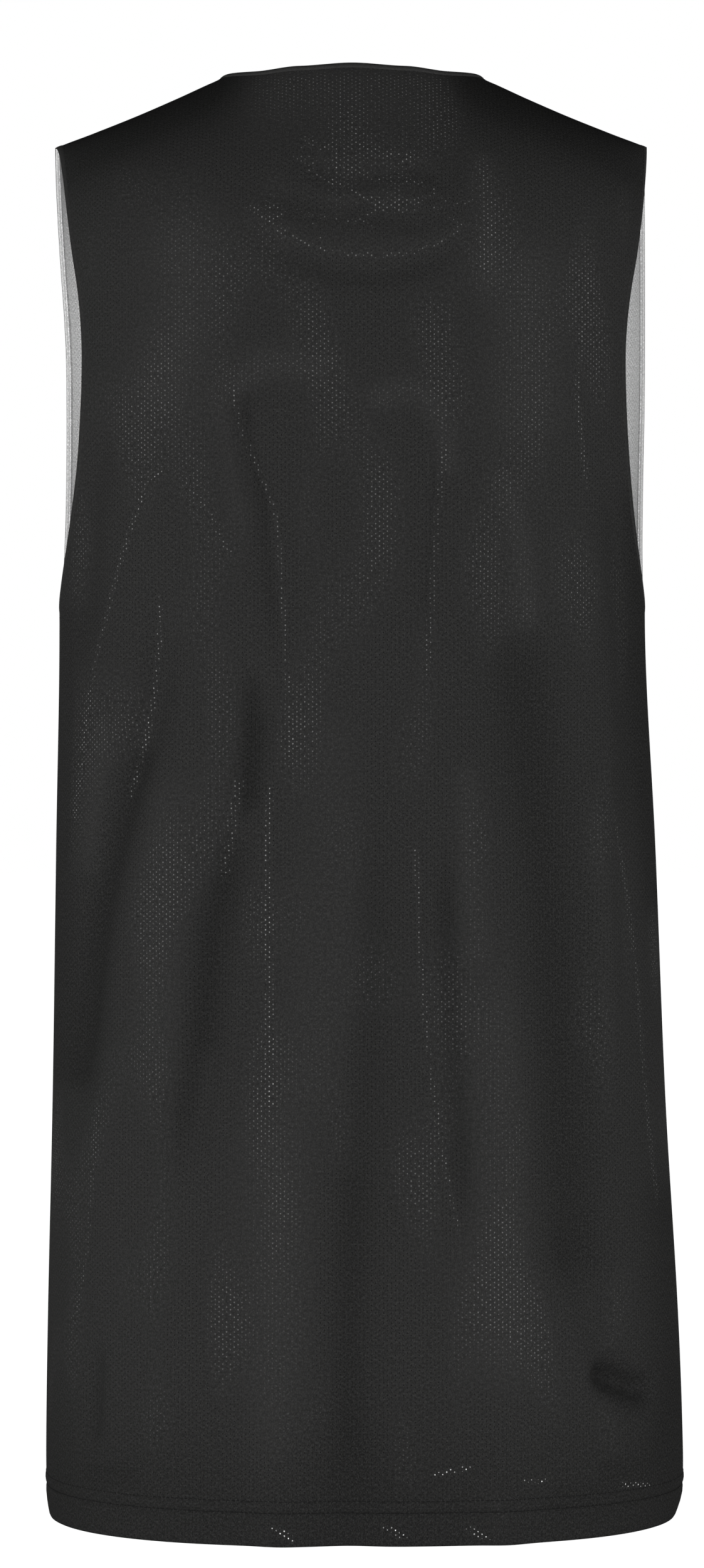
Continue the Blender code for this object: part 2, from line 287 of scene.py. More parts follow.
def armhole_path(side, sign):
    """One side of the oval armhole, from the side seam up to the shoulder seam."""
    reach, tip_power = ARMHOLES[side, sign]
    turn = np.linspace(0, pi, 321)
    z = UNDERARM_Z + (TIP_Z - UNDERARM_Z) * (1 - np.cos(turn)) / 2
    y = np.sin(turn)
    y[[0, -1]] = 0
    y = reach * y ** np.where(2 * turn > pi, tip_power, UNDERARM_POWER)
    near, far = np.full_like(z, NECK_HALF), half_width(sign, z)
    for _ in range(40):
        x = (near + far) / 2
        outside = depth_at(side, sign * x, z) > y
        near, far = np.where(outside, x, near), np.where(outside, far, x)
    return np.stack([sign * far, side * y, z], -1)


def neck_path(side):
    """The neckline from the wearer's right shoulder seam to the left one."""
    swing = np.linspace(-pi / 2, pi / 2, 641)
    x = NECK_HALF * np.sin(swing)
    if side == BACK:
        y = NECK_BACK_REACH * np.cos(swing)
        z = SPRING_Z + rise_at(x) * np.sqrt(1 - (y / level_depth(side, x, SPRING_Z)) ** 2)
    else:
        z = NECK_SIDE_Z - SCOOP * np.cos(swing)
        y = -depth_at(side, x, z)
    y[[0, -1]] = 0
    return np.stack([x, y, z], -1)


def shoulder_path(sign):
    x = np.linspace(float(half_width(sign, TIP_Z)), NECK_HALF, 121)
    return np.stack([sign * x, 0 * x, through(RIDGE, x, 1)], -1)


COLUMNS = 26  # across a panel, before it is made finer
NECK_COLUMNS = 14
STRAIGHT_ROWS = 20  # below the armholes
UPPER_ROWS = 9
FINENESS = 7  # steps of the finished panel in each of those
EVENING_ROUNDS = 120


def level_row(side, z, fineness):
    across = np.linspace(-1, 1, COLUMNS * fineness + 1)
    x = half_width(across, z) * np.sin(pi / 2 * across)
    row = np.stack([x, side * level_depth(side, x, z), np.full_like(x, z)], -1)
    row[[0, -1], 1] = 0
    return row


def rim_of(side, fineness):
    """The four edges of a panel above its straight rows: right, left, bottom and top."""
    right = evenly(armhole_path(side, -1), UPPER_ROWS * fineness)
    left = evenly(armhole_path(side, 1), UPPER_ROWS * fineness)
    shoulder = (COLUMNS - NECK_COLUMNS) // 2 * fineness
    neck = evenly(neck_path(side), NECK_COLUMNS * fineness)
    seams = [evenly(shoulder_path(sign), shoulder) for sign in (-1, 1)]
    top = np.concatenate([seams[0], neck[1:-1], seams[1][::-1]])
    bottom = level_row(side, UNDERARM_Z - BASE_DROP, fineness)
    bottom[0], bottom[-1] = right[0], left[0]
    return right, left, bottom, top


def upper_rows(side):
    """The rows between the armholes, evened out between the edges on a coarse net and then finer ones."""
    right, left, bottom, top = rim_of(side, 1)
    up = np.linspace(0, 1, len(right))[:, None, None]
    across = np.linspace(0, 1, len(top))[None, :, None]
    corners = (1 - up) * ((1 - across) * right[0] + across * left[0])
    corners = corners + up * ((1 - across) * right[-1] + across * left[-1])
    rows = (1 - across) * right[:, None] + across * left[:, None]
    rows = rows + (1 - up) * bottom[None] + up * top[None] - corners
    for fineness in (1, 2, FINENESS):
        right, left, bottom, top = rim_of(side, fineness)
        for axis, count in ((0, len(right)), (1, len(top))):
            at = np.linspace(0, rows.shape[axis] - 1, count)
            low = np.minimum(at.astype(int), rows.shape[axis] - 2)
            share = (at - low).reshape((-1, 1, 1) if axis == 0 else (1, -1, 1))
            rows = rows.take(low, axis) * (1 - share) + rows.take(low + 1, axis) * share
        rows[:, 0], rows[:, -1], rows[0], rows[-1] = right, left, bottom, top
        for _ in range(EVENING_ROUNDS):
            west, east = rows[1:-1, :-2], rows[1:-1, 2:]
            south, north = rows[:-2, 1:-1], rows[2:, 1:-1]
            along, rise = east - west, north - south
            beside = (rise * rise).sum(-1, keepdims=True)
            upright = (along * along).sum(-1, keepdims=True)
            skew = (rows[2:, 2:] - rows[2:, :-2] - rows[:-2, 2:] + rows[:-2, :-2]) / 2
            skew = skew * (along * rise).sum(-1, keepdims=True)
            moved = ((east + west) * beside + (north + south) * upright - skew) / (2 * (beside + upright))
            rows[1:-1, 1:-1] = settled(side, moved)
    return rows


def normals_of(rows, side):
    """Unit normals facing out of the garment, level across the side and shoulder seams."""
    one, other = rows[1:, 1:] - rows[:-1, :-1], rows[:-1, 1:] - rows[1:, :-1]
    facing = np.cross(one, other) * side
    normals = np.zeros_like(rows)
    for down, back in ((0, 0), (0, 1), (1, 0), (1, 1)):
        height, width = len(rows) - 1, len(rows[0]) - 1
        normals[down:down + height, back:back + width] += facing
    normals[rows[..., 1] == 0, 1] = 0
    return normals / np.linalg.norm(normals, axis=-1, keepdims=True)


FAR = 9.0  # farther than any line


def along(path, x, z):
    """How far points are from a smooth line, signed by their side of it, and how far along it."""
    path = np.array(path)
    run = np.r_[0, np.cumsum(np.hypot(*np.diff(path, axis=0).T))]
    steps = np.linspace(0, run[-1], 6 * len(path))
    line = np.stack([through(np.column_stack([run, path]), steps, k) for k in (1, 2)], -1)
    nearest, share = np.full_like(x, FAR), np.zeros_like(x)
    for k, (start, end) in enumerate(zip(line, line[1:])):
        ahead = end - start
        dx, dz = x - start[0], z - start[1]
        t = np.clip((dx * ahead[0] + dz * ahead[1]) / (ahead @ ahead), 0, 1)
        off = np.hypot(dx - ahead[0] * t, dz - ahead[1] * t)
        closer = off < np.abs(nearest)
        off = np.where(dx * ahead[1] > dz * ahead[0], off, -off)
        nearest = np.where(closer, off, nearest)
        share = np.where(closer, (k + t) / (len(line) - 1), share)
    return nearest, share


# The folds hang from the shoulders and the chest, each along its own line. Depth is inwards, so a
# depth below nought is a ridge
FOLDS = {
    BACK: (
        # half width, depth, points of the line
        (0.0110, 0.0060, ((0.103, -0.270), (0.112, -0.343), (0.129, -0.398), (0.144, -0.452),
                          (0.153, -0.513), (0.162, -0.610))),
        (0.0070, 0.0045, ((0.052, -0.320), (0.055, -0.372), (0.058, -0.425))),
        (0.0110, 0.0060, ((0.062, -0.395), (0.068, -0.447), (0.075, -0.474), (0.082, -0.539),
                          (0.097, -0.630))),
        (0.0160, 0.0045, ((-0.003, -0.330), (-0.007, -0.441), (-0.005, -0.549), (0.000, -0.630),
                          (0.003, -0.711), (0.000, -0.900))),
        (0.0200, 0.0048, ((-0.088, -0.250), (-0.100, -0.365), (-0.110, -0.414), (-0.118, -0.496),
                          (-0.122, -0.577), (-0.122, -0.720))),
        (0.0080, 0.0028, ((-0.148, -0.200), (-0.156, -0.286), (-0.160, -0.358), (-0.163, -0.450))),
        (0.0080, 0.0026, ((0.145, -0.180), (0.151, -0.253), (0.155, -0.330))),
        (0.0070, 0.0040, ((-0.049, -0.400), (-0.057, -0.549), (-0.062, -0.670))),
        (0.0110, 0.0035, ((-0.120, -0.625), (-0.137, -0.692), (-0.150, -0.728), (-0.165, -0.755))),
        (0.0060, 0.0075, ((-0.134, -0.726), (-0.176, -0.744))),
        (0.0045, 0.0035, ((0.146, -0.710), (0.149, -0.775))),
        (0.0130, -0.0020, ((0.104, -0.370), (0.104, -0.470), (0.108, -0.610))),
        (0.0140, -0.0038, ((0.014, -0.350), (0.013, -0.440), (0.022, -0.560), (0.034, -0.680),
                           (0.044, -0.900))),
        (0.0130, -0.0035, ((-0.066, -0.370), (-0.074, -0.480), (-0.084, -0.600), (-0.086, -0.720),
                           (-0.088, -0.900))),
        (0.0090, -0.0035, ((-0.134, -0.370), (-0.143, -0.470), (-0.148, -0.570))),
        (0.0055, 0.0022, ((0.036, -0.165), (0.058, -0.172), (0.061, -0.196), (0.048, -0.250),
                          (0.040, -0.330))),
        (0.0060, -0.0035, ((0.052, -0.155), (0.070, -0.170), (0.066, -0.200), (0.056, -0.260))),
        (0.0060, 0.0020, ((-0.020, -0.186), (-0.042, -0.190), (-0.044, -0.240), (-0.037, -0.320))),
        (0.0055, 0.0024, ((0.070, -0.072), (0.030, -0.096), (-0.012, -0.104), (-0.050, -0.094),
                          (-0.074, -0.078))),
        (0.0040, -0.0016, ((0.064, -0.062), (0.036, -0.082), (-0.010, -0.090), (-0.050, -0.084),
                           (-0.070, -0.068))),
        (0.0040, 0.0022, ((0.060, -0.054), (0.026, -0.066), (-0.010, -0.070), (-0.050, -0.076))),
        (0.0045, 0.0022, ((0.034, -0.040), (0.006, -0.050), (-0.034, -0.046), (-0.060, -0.056))),
    ),
    FRONT: (
        (0.0130, 0.0080, ((-0.080, -0.240), (-0.102, -0.380), (-0.128, -0.520), (-0.140, -0.660))),
        (0.0140, 0.0080, ((0.084, -0.230), (0.104, -0.360), (0.130, -0.520), (0.142, -0.720))),
        (0.0130, 0.0085, ((0.016, -0.400), (0.020, -0.560), (0.026, -0.700), (0.028, -0.900))),
        (0.0100, 0.0050, ((-0.052, -0.320), (-0.060, -0.420), (-0.074, -0.540))),
        (0.0130, -0.0050, ((-0.030, -0.380), (-0.038, -0.560), (-0.050, -0.900))),
        (0.0120, -0.0045, ((0.060, -0.360), (0.066, -0.520), (0.070, -0.720))),
        (0.0080, 0.0060, ((0.112, -0.630), (0.132, -0.700), (0.150, -0.750))),
        (0.0060, 0.0040, ((0.062, -0.115), (0.030, -0.150), (-0.004, -0.158), (-0.044, -0.142),
                          (-0.066, -0.112))),
        (0.0050, 0.0030, ((-0.098, -0.100), (-0.092, -0.170), (-0.080, -0.230))),
    ),
}
FULLNESS = 1.2  # how much deeper every fold is than its own figure
FOLD_FADE = 0.25  # share of its length over which a fold deepens at each end
SEAM_FADE = 0.05  # share of the half width over which the folds die out at a side seam


def fold_depth(side, x, z, spread=1):
    """How far the folds push the cloth in. With more spread they reach further to both sides."""
    total = np.zeros_like(x)
    for width, depth, path in FOLDS[side]:
        off, share = along(path, x, z)
        ends = eased(share / FOLD_FADE) * eased((1 - share) / FOLD_FADE)
        total += FULLNESS * depth * np.exp(-((off / (spread * width)) ** 2)) * ends
    return total * eased((1 - np.abs(x) / half_width(x, z)) / SEAM_FADE)


def grain_of(side, x, z):
    """Where the threads run: metres across from the middle and up from the hem, on the flat panel."""
    low = np.minimum(z, SPRING_Z)
    steps = 24  # of the sums along the cloth
    width = half_width(x, low)
    swing = np.arcsin(np.clip(np.abs(x) / width, 0, 1))
    run, last_x, last_y = 0 * x, 0 * x, level_depth(side, 0 * x, low)
    for k in range(1, steps + 1):
        this_x = width * np.sin(swing * k / steps)
        this_y = level_depth(side, np.sign(x + 1e-9) * this_x, low)
        run = run + np.hypot(this_x - last_x, this_y - last_y)
        last_x, last_y = this_x, this_y
    rise, depth = rise_at(x), level_depth(side, x, low)
    angle = np.arcsin(np.clip((z - SPRING_Z) / rise, 0, 1))
    turns = [angle * (k + 0.5) / steps for k in range(steps)]
    arc = sum(np.hypot(rise * np.cos(turn), depth * np.sin(turn)) for turn in turns) * angle / steps
    return np.stack([np.sign(x) * run, low - HEM_Z + arc, 0 * x], -1)


HEM_TOP = HEM_Z + HEM_DEPTH
TUCK = 0.0012  # how far a panel runs on under its hem


def panel_grid(side):
    """Rows of a whole panel, finished edge to finished edge, from the top of the hem up."""
    heights = np.linspace(HEM_TOP - TUCK, UNDERARM_Z - BASE_DROP, STRAIGHT_ROWS * FINENESS + 1)
    body = [level_row(side, z, FINENESS) for z in heights[:-1]]
    return np.concatenate([body, upper_rows(side)])


def folded(rows, side):
    """A smooth grid pushed in and out by the folds, and its normals."""
    rows = rows - normals_of(rows, side) * fold_depth(side, rows[..., 0], rows[..., 2])[..., None]
    return rows, normals_of(rows, side)


def wall_faces(height, width, looped):
    """The quads of a closed wall between two grids of points, one after the other."""
    index = np.arange(height * width).reshape(height, width)
    left, right = (index, np.roll(index, -1, 1)) if looped else (index[:, :-1], index[:, 1:])
    face = np.stack([left[:-1], right[:-1], right[1:], left[1:]], -1).reshape(-1, 4)
    rims = [(left[0], right[0]), (right[-1], left[-1])]
    if not looped:
        rims += [(index[1:, 0], index[:-1, 0]), (index[:-1, -1], index[1:, -1])]
    under = height * width
    rims = [np.stack([b, a, a + under, b + under], -1) for a, b in rims]
    return np.concatenate([face, face[:, ::-1] + under, *rims])


def sewn_piece(name, points, faces, material, notes):
    """A closed mesh with its faces turned outwards. Notes are values kept at each point."""
    points = points.reshape(-1, 3)
    a, b, c, d = (points[faces[:, k]] for k in range(4))
    if (np.cross(b - a, d - a) * a + np.cross(d - c, b - c) * c).sum() < 0:
        faces = faces[:, ::-1]
    mesh = bpy.data.meshes.new(name)
    mesh.from_pydata(points.tolist(), [], faces.tolist())
    mesh.shade_smooth()
    mesh.set_sharp_from_angle(angle=radians(60))
    mesh.materials.append(material)
    for note, values in notes.items():
        kept = mesh.attributes.new(note, "FLOAT_VECTOR", "POINT")
        kept.data.foreach_set("vector", values.astype(np.float32).ravel())
    piece = bpy.data.objects.new(name, mesh)
    scene.collection.objects.link(piece)
    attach(piece, "root")
    return piece


# Polyester mesh: a fine knit with small round holes in staggered columns. The holes are painted on the
# cloth and dented by its bump, not cut through. Most are painted dark, as the shade inside them. They are
# paler
# where the white layer lies close behind, and show what lies beyond both layers where their holes line
# up:
# on the black mesh that is painted bright, as the light beyond
HOLE_ACROSS = 0.00222  # between neighbouring columns of holes
HOLE_UP = 0.00279  # between the holes of one column; the next column is half a step off
HOLE_RADIUS = 0.00036


def mesh_cloth(name, yarn, dark, pale, beyond):
    """Cloth of one yarn. Its holes show dark, pale from a layer close behind, or what is beyond both."""
    material = bpy.data.materials.new(name)
    tree = begin(material)
    grain = tree.node("Attribute", {"attribute_name": "grain"}, {}, "Vector")
    streak_and_shade = tree.node("Attribute", {"attribute_name": "streak_and_shade"}, {}, "Vector")
    off_streak, narrow, shade = (tree.node("SeparateXYZ", {}, {"Vector": streak_and_shade}, axis) for axis in "XYZ")
    firm = tree.node("Attribute", {"attribute_name": "firm"}, {}, "Fac")
    across, up = (tree.node("SeparateXYZ", {}, {"Vector": grain}, axis) for axis in "XY")
    columns, rows = across / (2 * HOLE_ACROSS), up / HOLE_UP
    off_holes = []
    for shift in (0, 0.5):
        aside = ((columns + shift).maths("FRACT") - 0.5) * (2 * HOLE_ACROSS)
        above = ((rows + shift).maths("FRACT") - 0.5) * HOLE_UP
        off_holes.append((aside * aside + above * above * 0.7).maths("SQRT"))
    off_hole = off_holes[0].maths("MINIMUM", off_holes[1])

    # Fuzz makes each hole and loop a little different, and drift moves the layer behind near and far
    fuzz = tree.node("TexNoise", {}, {"Vector": grain, "Scale": 500.0, "Detail": 2.0}, "Fac")
    loops = tree.node("CombineXYZ", {}, {"X": across, "Y": up * 0.6})
    loops = tree.node("TexNoise", {}, {"Vector": loops, "Scale": 1500.0, "Detail": 1.0}, "Fac")
    drift = tree.node("CombineXYZ", {}, {"X": across, "Y": up * 0.4})
    drift = tree.node("TexNoise", {}, {"Vector": drift, "Scale": 30.0, "Detail": 0.0}, "Fac")
    open_hole = (0.3 + fuzz.eased(0.35, 0.6) * 0.7) * (1 - firm)
    hole = (1 - off_hole.eased(0.5 * HOLE_RADIUS, 1.3 * HOLE_RADIUS)) * open_hole
    # Lit paints light and shade on the yarn: paler where the shade that the notes carry is above nought,
    # darker in folds and bands of painted shade
    lit = fuzz.eased(0.3, 0.7) * 0.2 + loops.eased(0.4, 0.8) * 0.5 + shade * 0.2 + 0.18
    knit = lit.blend([0.5 * c for c in yarn], [1.75 * c for c in yarn])
    near = drift.eased(0.45, 0.8) * fuzz.eased(0.35, 0.55)
    # The painted shade also darkens the holes, and painted light pales them, besides the drift of the
    # layer behind
    close_behind = shade * (0.4 + fuzz.eased(0.35, 0.6) * 0.6) + near
    in_streak = narrow * (1 - off_streak.maths("ABSOLUTE").eased(0.5, 1.4))
    seen = (in_streak * fuzz.eased(0.35, 0.6)).blend(close_behind.blend(dark, pale), beyond)
    relief = tree.node("Bump", {}, {"Strength": 0.4, "Distance": 0.0004, "Height": fuzz * 0.3 - hole})
    shader = tree.node("BsdfPrincipled", {}, {
        "Base Color": hole.blend(knit, seen), "Roughness": 0.8, "Specular IOR Level": 0.0,
        "Normal": relief,
    })
    tree.node("OutputMaterial", {}, {"Surface": shader})
    return material


black_mesh = mesh_cloth(
    "black_mesh_cloth", (0.0175, 0.0175, 0.0172), (0.006, 0.006, 0.006), (0.105, 0.105, 0.104),
    (0.85, 0.85, 0.84),
)

# Where the two layers' holes line up in bright streaks one or two holes across, and the wide bands of
# painted light and shade. Above nought a band makes the cloth paler, partly as the white layer close
# behind and partly as painted light. Below nought it is painted shade: on the tops of the shoulders,
# along folds and hollows, at the sides and along the hem. Each has its half width, its strength and the
# points of its line
NARROW_STREAKS = {
    BACK: (
        (0.0014, 0.16, ((0.057, -0.067), (0.041, -0.081), (0.019, -0.091), (-0.008, -0.095),
                       (-0.035, -0.093), (-0.054, -0.085), (-0.061, -0.078))),
        (0.0012, 0.13, ((0.054, -0.067), (0.045, -0.067), (0.032, -0.069), (0.023, -0.072),
                       (0.010, -0.074), (-0.009, -0.077))),
        (0.0014, 0.18, ((0.018, -0.050), (0.008, -0.054), (-0.001, -0.059), (-0.014, -0.063),
                       (-0.038, -0.063), (-0.047, -0.058), (-0.035, -0.052), (-0.014, -0.050),
                       (-0.001, -0.046), (0.010, -0.043))),
        (0.0030, 0.13, ((-0.008, -0.034), (-0.033, -0.039))),
        (0.0025, 0.13, ((0.024, -0.028), (0.014, -0.033), (0.017, -0.036))),
        (0.0018, 0.12, ((0.029, -0.039), (0.022, -0.040), (0.024, -0.046))),
        (0.0012, 0.11, ((0.001, -0.013), (-0.004, -0.032))),
        (0.0012, 0.11, ((-0.011, -0.069), (-0.033, -0.069), (-0.052, -0.067), (-0.068, -0.063))),
        (0.0050, 0.08, ((-0.074, -0.041), (-0.077, -0.070), (-0.076, -0.099))),
        (0.0016, 0.15, ((-0.136, -0.105), (-0.130, -0.147), (-0.129, -0.176), (-0.134, -0.221))),
        (0.0014, 0.19, ((0.110, -0.217), (0.118, -0.226), (0.135, -0.277), (0.149, -0.333),
                       (0.160, -0.412))),
        (0.0014, 0.11, ((0.093, -0.223), (0.082, -0.239), (0.071, -0.261))),
        (0.0014, 0.15, ((0.067, -0.168), (0.063, -0.191), (0.055, -0.212), (0.044, -0.240),
                       (0.040, -0.278), (0.036, -0.343), (0.034, -0.376))),
        (0.0020, 0.11, ((-0.053, -0.202), (-0.049, -0.234), (-0.046, -0.278), (-0.042, -0.332))),
        (0.0014, 0.24, ((0.109, -0.293), (0.112, -0.320), (0.117, -0.350), (0.120, -0.365),
                       (0.130, -0.399))),
        (0.0024, 0.20, ((0.046, -0.398), (0.048, -0.422), (0.047, -0.472), (0.046, -0.574))),
        (0.0025, 0.17, ((0.064, -0.392), (0.068, -0.415), (0.073, -0.444))),
        (0.0014, 0.19, ((0.035, -0.335), (0.034, -0.378))),
        (0.0014, 0.15, ((-0.036, -0.430), (-0.039, -0.495), (-0.044, -0.554), (-0.051, -0.598),
                       (-0.059, -0.641))),
        (0.0014, 0.11, ((-0.151, -0.414), (-0.163, -0.497), (-0.170, -0.580), (-0.176, -0.632))),
        (0.0014, 0.08, ((0.146, -0.579), (0.152, -0.662), (0.161, -0.707))),
        (0.0012, 0.7, ((-0.049, -0.781), (-0.065, -0.778))),
        (0.0012, 0.6, ((-0.107, -0.787), (-0.097, -0.787))),
        (0.0012, 0.7, ((-0.155, -0.793), (-0.170, -0.795))),
        (0.0022, 1.0, ((0.040, -0.812), (0.034, -0.816))),
        (0.0020, 1.0, ((-0.023, -0.812), (-0.028, -0.815))),
        (0.0018, 1.0, ((-0.068, -0.813), (-0.073, -0.816))),
    ),
    FRONT: (
        (0.0014, 0.30, ((-0.070, -0.130), (-0.082, -0.180), (-0.070, -0.240), (-0.078, -0.320))),
        (0.0016, 0.27, ((0.030, -0.420), (0.034, -0.520), (0.028, -0.600))),
        (0.0014, 0.23, ((0.056, -0.130), (0.036, -0.158), (-0.004, -0.168), (-0.040, -0.156))),
        (0.0016, 0.19, ((0.100, -0.240), (0.114, -0.330), (0.128, -0.420))),
        (0.0030, 1.0, ((-0.036, -0.810), (-0.043, -0.815))),
    ),
}
# Bands of painted light (above nought) and painted shade (below nought) on the cloth
PAINTED_SHADES = {
    BACK: (
        (0.0080, 0.5, ((-0.074, -0.041), (-0.077, -0.070), (-0.076, -0.110))),
        (0.0200, 0.6, ((-0.098, -0.110), (-0.098, -0.180))),
        (0.0200, 0.6, ((0.095, -0.085), (0.093, -0.120), (0.107, -0.170))),
        (0.0090, 0.6, ((0.020, -0.158), (0.050, -0.157), (0.066, -0.166))),
        (0.0070, 0.6, ((-0.015, -0.176), (-0.035, -0.172), (-0.049, -0.183), (-0.053, -0.212))),
        (0.0070, 0.5, ((-0.087, -0.223), (-0.095, -0.255), (-0.100, -0.299))),
        (0.0070, 0.5, ((0.143, -0.365), (0.149, -0.406), (0.153, -0.440))),
        (0.0160, 0.25, ((0.011, -0.370), (0.006, -0.482), (0.018, -0.560))),
        (0.0070, 0.4, ((-0.065, -0.390), (-0.069, -0.490))),
        (0.0200, 0.35, ((-0.081, -0.530), (-0.086, -0.624), (-0.084, -0.710))),
        (0.0200, 0.35, ((0.046, -0.600), (0.041, -0.693), (0.045, -0.765))),
        (0.0150, 0.2, ((0.104, -0.400), (0.106, -0.554))),
        (0.0250, 0.9, ((0.050, 0.010), (-0.045, 0.010))),
        (0.0260, -2.2, ((0.092, 0.016), (0.130, 0.000), (0.178, -0.022))),
        (0.0260, -2.2, ((-0.084, 0.016), (-0.130, 0.000), (-0.176, -0.022))),
        (0.0600, -0.9, ((-0.190, -0.815), (0.180, -0.815))),
        (0.0060, -1.4, ((-0.118, -0.8010), (-0.150, -0.8000), (-0.185, -0.7950))),
        (0.0200, -0.8, ((-0.186, -0.640), (-0.190, -0.780))),
        (0.0080, -0.8, ((0.122, -0.380), (0.144, -0.452), (0.153, -0.513), (0.158, -0.560))),
        (0.0180, -0.7, ((-0.096, -0.330), (-0.109, -0.414), (-0.117, -0.496), (-0.122, -0.577),
                        (-0.126, -0.660))),
        (0.0080, -1.2, ((-0.146, -0.728), (-0.160, -0.744))),
        (0.0050, -0.9, ((-0.147, -0.784), (-0.178, -0.791))),
        (0.0050, -0.7, ((0.147, -0.788), (0.128, -0.785))),
        (0.0110, -1.0, ((-0.166, -0.230), (-0.171, -0.360), (-0.178, -0.460))),
        (0.0110, -0.5, ((0.164, -0.300), (0.168, -0.400), (0.172, -0.560))),
        (0.0100, -0.4, ((0.000, -0.620), (0.003, -0.711), (0.000, -0.786))),
        (0.0070, -0.6, ((0.052, -0.360), (0.056, -0.400))),
        (0.0080, -0.5, ((0.064, -0.430), (0.075, -0.474), (0.082, -0.539))),
    ),
    FRONT: (
        (0.0100, 0.5, ((0.060, -0.140), (0.072, -0.190), (0.066, -0.250))),
        (0.0140, 0.6, ((-0.040, -0.400), (-0.050, -0.500), (-0.046, -0.600))),
        (0.0130, 0.6, ((0.080, -0.560), (0.086, -0.680))),
        (0.0130, 0.5, ((-0.104, -0.120), (-0.110, -0.200))),
        (0.0200, -1.4, ((0.100, 0.014), (0.130, 0.000), (0.178, -0.022))),
        (0.0200, -1.4, ((-0.100, 0.014), (-0.130, 0.000), (-0.176, -0.022))),
        (0.0220, -0.5, ((-0.190, -0.806), (0.180, -0.806))),
        (0.0160, -0.7, ((0.104, -0.380), (0.130, -0.520), (0.140, -0.680))),
        (0.0160, -0.6, ((-0.090, -0.300), (-0.102, -0.380), (-0.128, -0.520))),
    ),
}
STREAK_REACH = 0.0055  # a narrow streak's own share of the cloth beside it
FOLD_SHADE_DEPTH = 0.022  # a fold this deep would be painted fully dark, as shade
FOLD_SHADE_SPREAD = 1.8  # the painted shade of a fold is this much wider than the fold


def streaks(side, x, z):
    """Offset from the nearest narrow streak in its half widths, its strength, and the painted light and
    shade, -1 to 1.
    """
    nearest, offset, narrow = np.full_like(x, FAR), np.full_like(x, FAR), np.zeros_like(x)
    # Folds are painted darker, as shade, besides their relief
    shade = -fold_depth(side, x, z, FOLD_SHADE_SPREAD) / FOLD_SHADE_DEPTH
    for width, strength, path in NARROW_STREAKS[side]:
        off, _ = along(path, x, z)
        closer = np.abs(off) < nearest
        nearest = np.where(closer, np.abs(off), nearest)
        offset = np.where(closer, off / width, offset)
        near = 1 - eased((np.abs(off) - 0.7 * STREAK_REACH) / (0.3 * STREAK_REACH))
        narrow = np.where(closer, strength * near, narrow)
    for width, strength, path in PAINTED_SHADES[side]:
        off, _ = along(path, x, z)
        shade = shade + strength * np.exp(-((off / width) ** 2))
    return np.stack([offset, narrow, np.clip(shade, -1, 1)], -1)


neck_start = (COLUMNS - NECK_COLUMNS) // 2 * FINENESS
neck_end = COLUMNS * FINENESS - neck_start
foot_row = STRAIGHT_ROWS * FINENESS
EDGES = {  # the parts of a panel's grid that lie on the rims of its openings
    "neck_edge": lambda rows: rows[-1, neck_start:neck_end + 1],
    "armhole_edge_left": lambda rows: rows[foot_row:, -1],
    "armhole_edge_right": lambda rows: rows[foot_row:, 0],
}
FIRM_REACH = (0.0060, 0.0110)  # near a turned edge the cloth is drawn firm and its holes close


def firmness(rows):
    """1 at a panel's turned edges, down to 0 away from them."""
    rim = np.concatenate([edge(rows)[::2] for edge in EDGES.values()])
    away = np.stack([np.sqrt(((row[:, None] - rim) ** 2).sum(-1)).min(-1) for row in rows])
    return 1 - eased((away - FIRM_REACH[0]) / (FIRM_REACH[1] - FIRM_REACH[0]))


def cloth_notes(side, rows):
    x, z = rows[..., 0], rows[..., 2]
    notes = {"grain": grain_of(side, x, z), "streak_and_shade": streaks(side, x, z)}
    notes["firm"] = firmness(rows)[..., None] * [1, 1, 1]
    return {name: np.concatenate([values.reshape(-1, 3)] * 2) for name, values in notes.items()}


smooth_grids = {side: panel_grid(side) for side in (BACK, FRONT)}
folded_grids = {side: folded(smooth_grids[side], side) for side in (BACK, FRONT)}
for side in (BACK, FRONT):
    name = "outer_" + SIDE_NAMES[side]
    rows, normals = folded_grids[side]
    faces = wall_faces(*rows.shape[:2], False)
    notes = cloth_notes(side, smooth_grids[side])
    panel = sewn_piece(name + "_cloth", np.stack([rows, rows - normals * WALL]), faces, black_mesh, notes)
    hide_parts(name)

# ---------------------------------------------------------------------------------------------
# The inner layer has the same cut in white mesh. It hangs just inside the black one and shows
# through the armholes and the neck.
# ---------------------------------------------------------------------------------------------

INNER_HEM_RISE = 0.0040  # the white layer is this much shorter than the black one

white_mesh = mesh_cloth(
    "white_mesh_cloth", (0.64, 0.64, 0.64), (0.12, 0.12, 0.12), (0.30, 0.30, 0.30), (0.10, 0.10, 0.10),
)

for side in (BACK, FRONT):
    name = "inner_" + SIDE_NAMES[side]
    smooth = smooth_grids[side]
    rows, normals = folded_grids[side]
    lift = np.where(smooth[..., 2:] < HEM_TOP + INNER_HEM_RISE, INNER_HEM_RISE, 0) * [0, 0, 1]
    layers = [rows + lift - normals * depth for depth in (WALL + LAYER_GAP, 2 * WALL + LAYER_GAP)]
    notes = cloth_notes(side, smooth)
    panel = sewn_piece(
        name + "_cloth", np.stack(layers), wall_faces(*rows.shape[:2], False), white_mesh, notes
    )
    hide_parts(name)

# ---------------------------------------------------------------------------------------------
# At the neck and the armholes the two layers are sewn together, turned right side out, and
# topstitched close to the rim. The seam allowances inside make a firm swollen edge, black outside
# and white inside.
# ---------------------------------------------------------------------------------------------

EDGE_STEP = 0.0014  # between points along a rim
EDGE_STITCH = 0.0046  # rim to topstitching
STITCH_SINK = 0.00032  # how far that is pulled in
MIDDLE = WALL + LAYER_GAP / 2  # from the black face down to the middle of the two layers
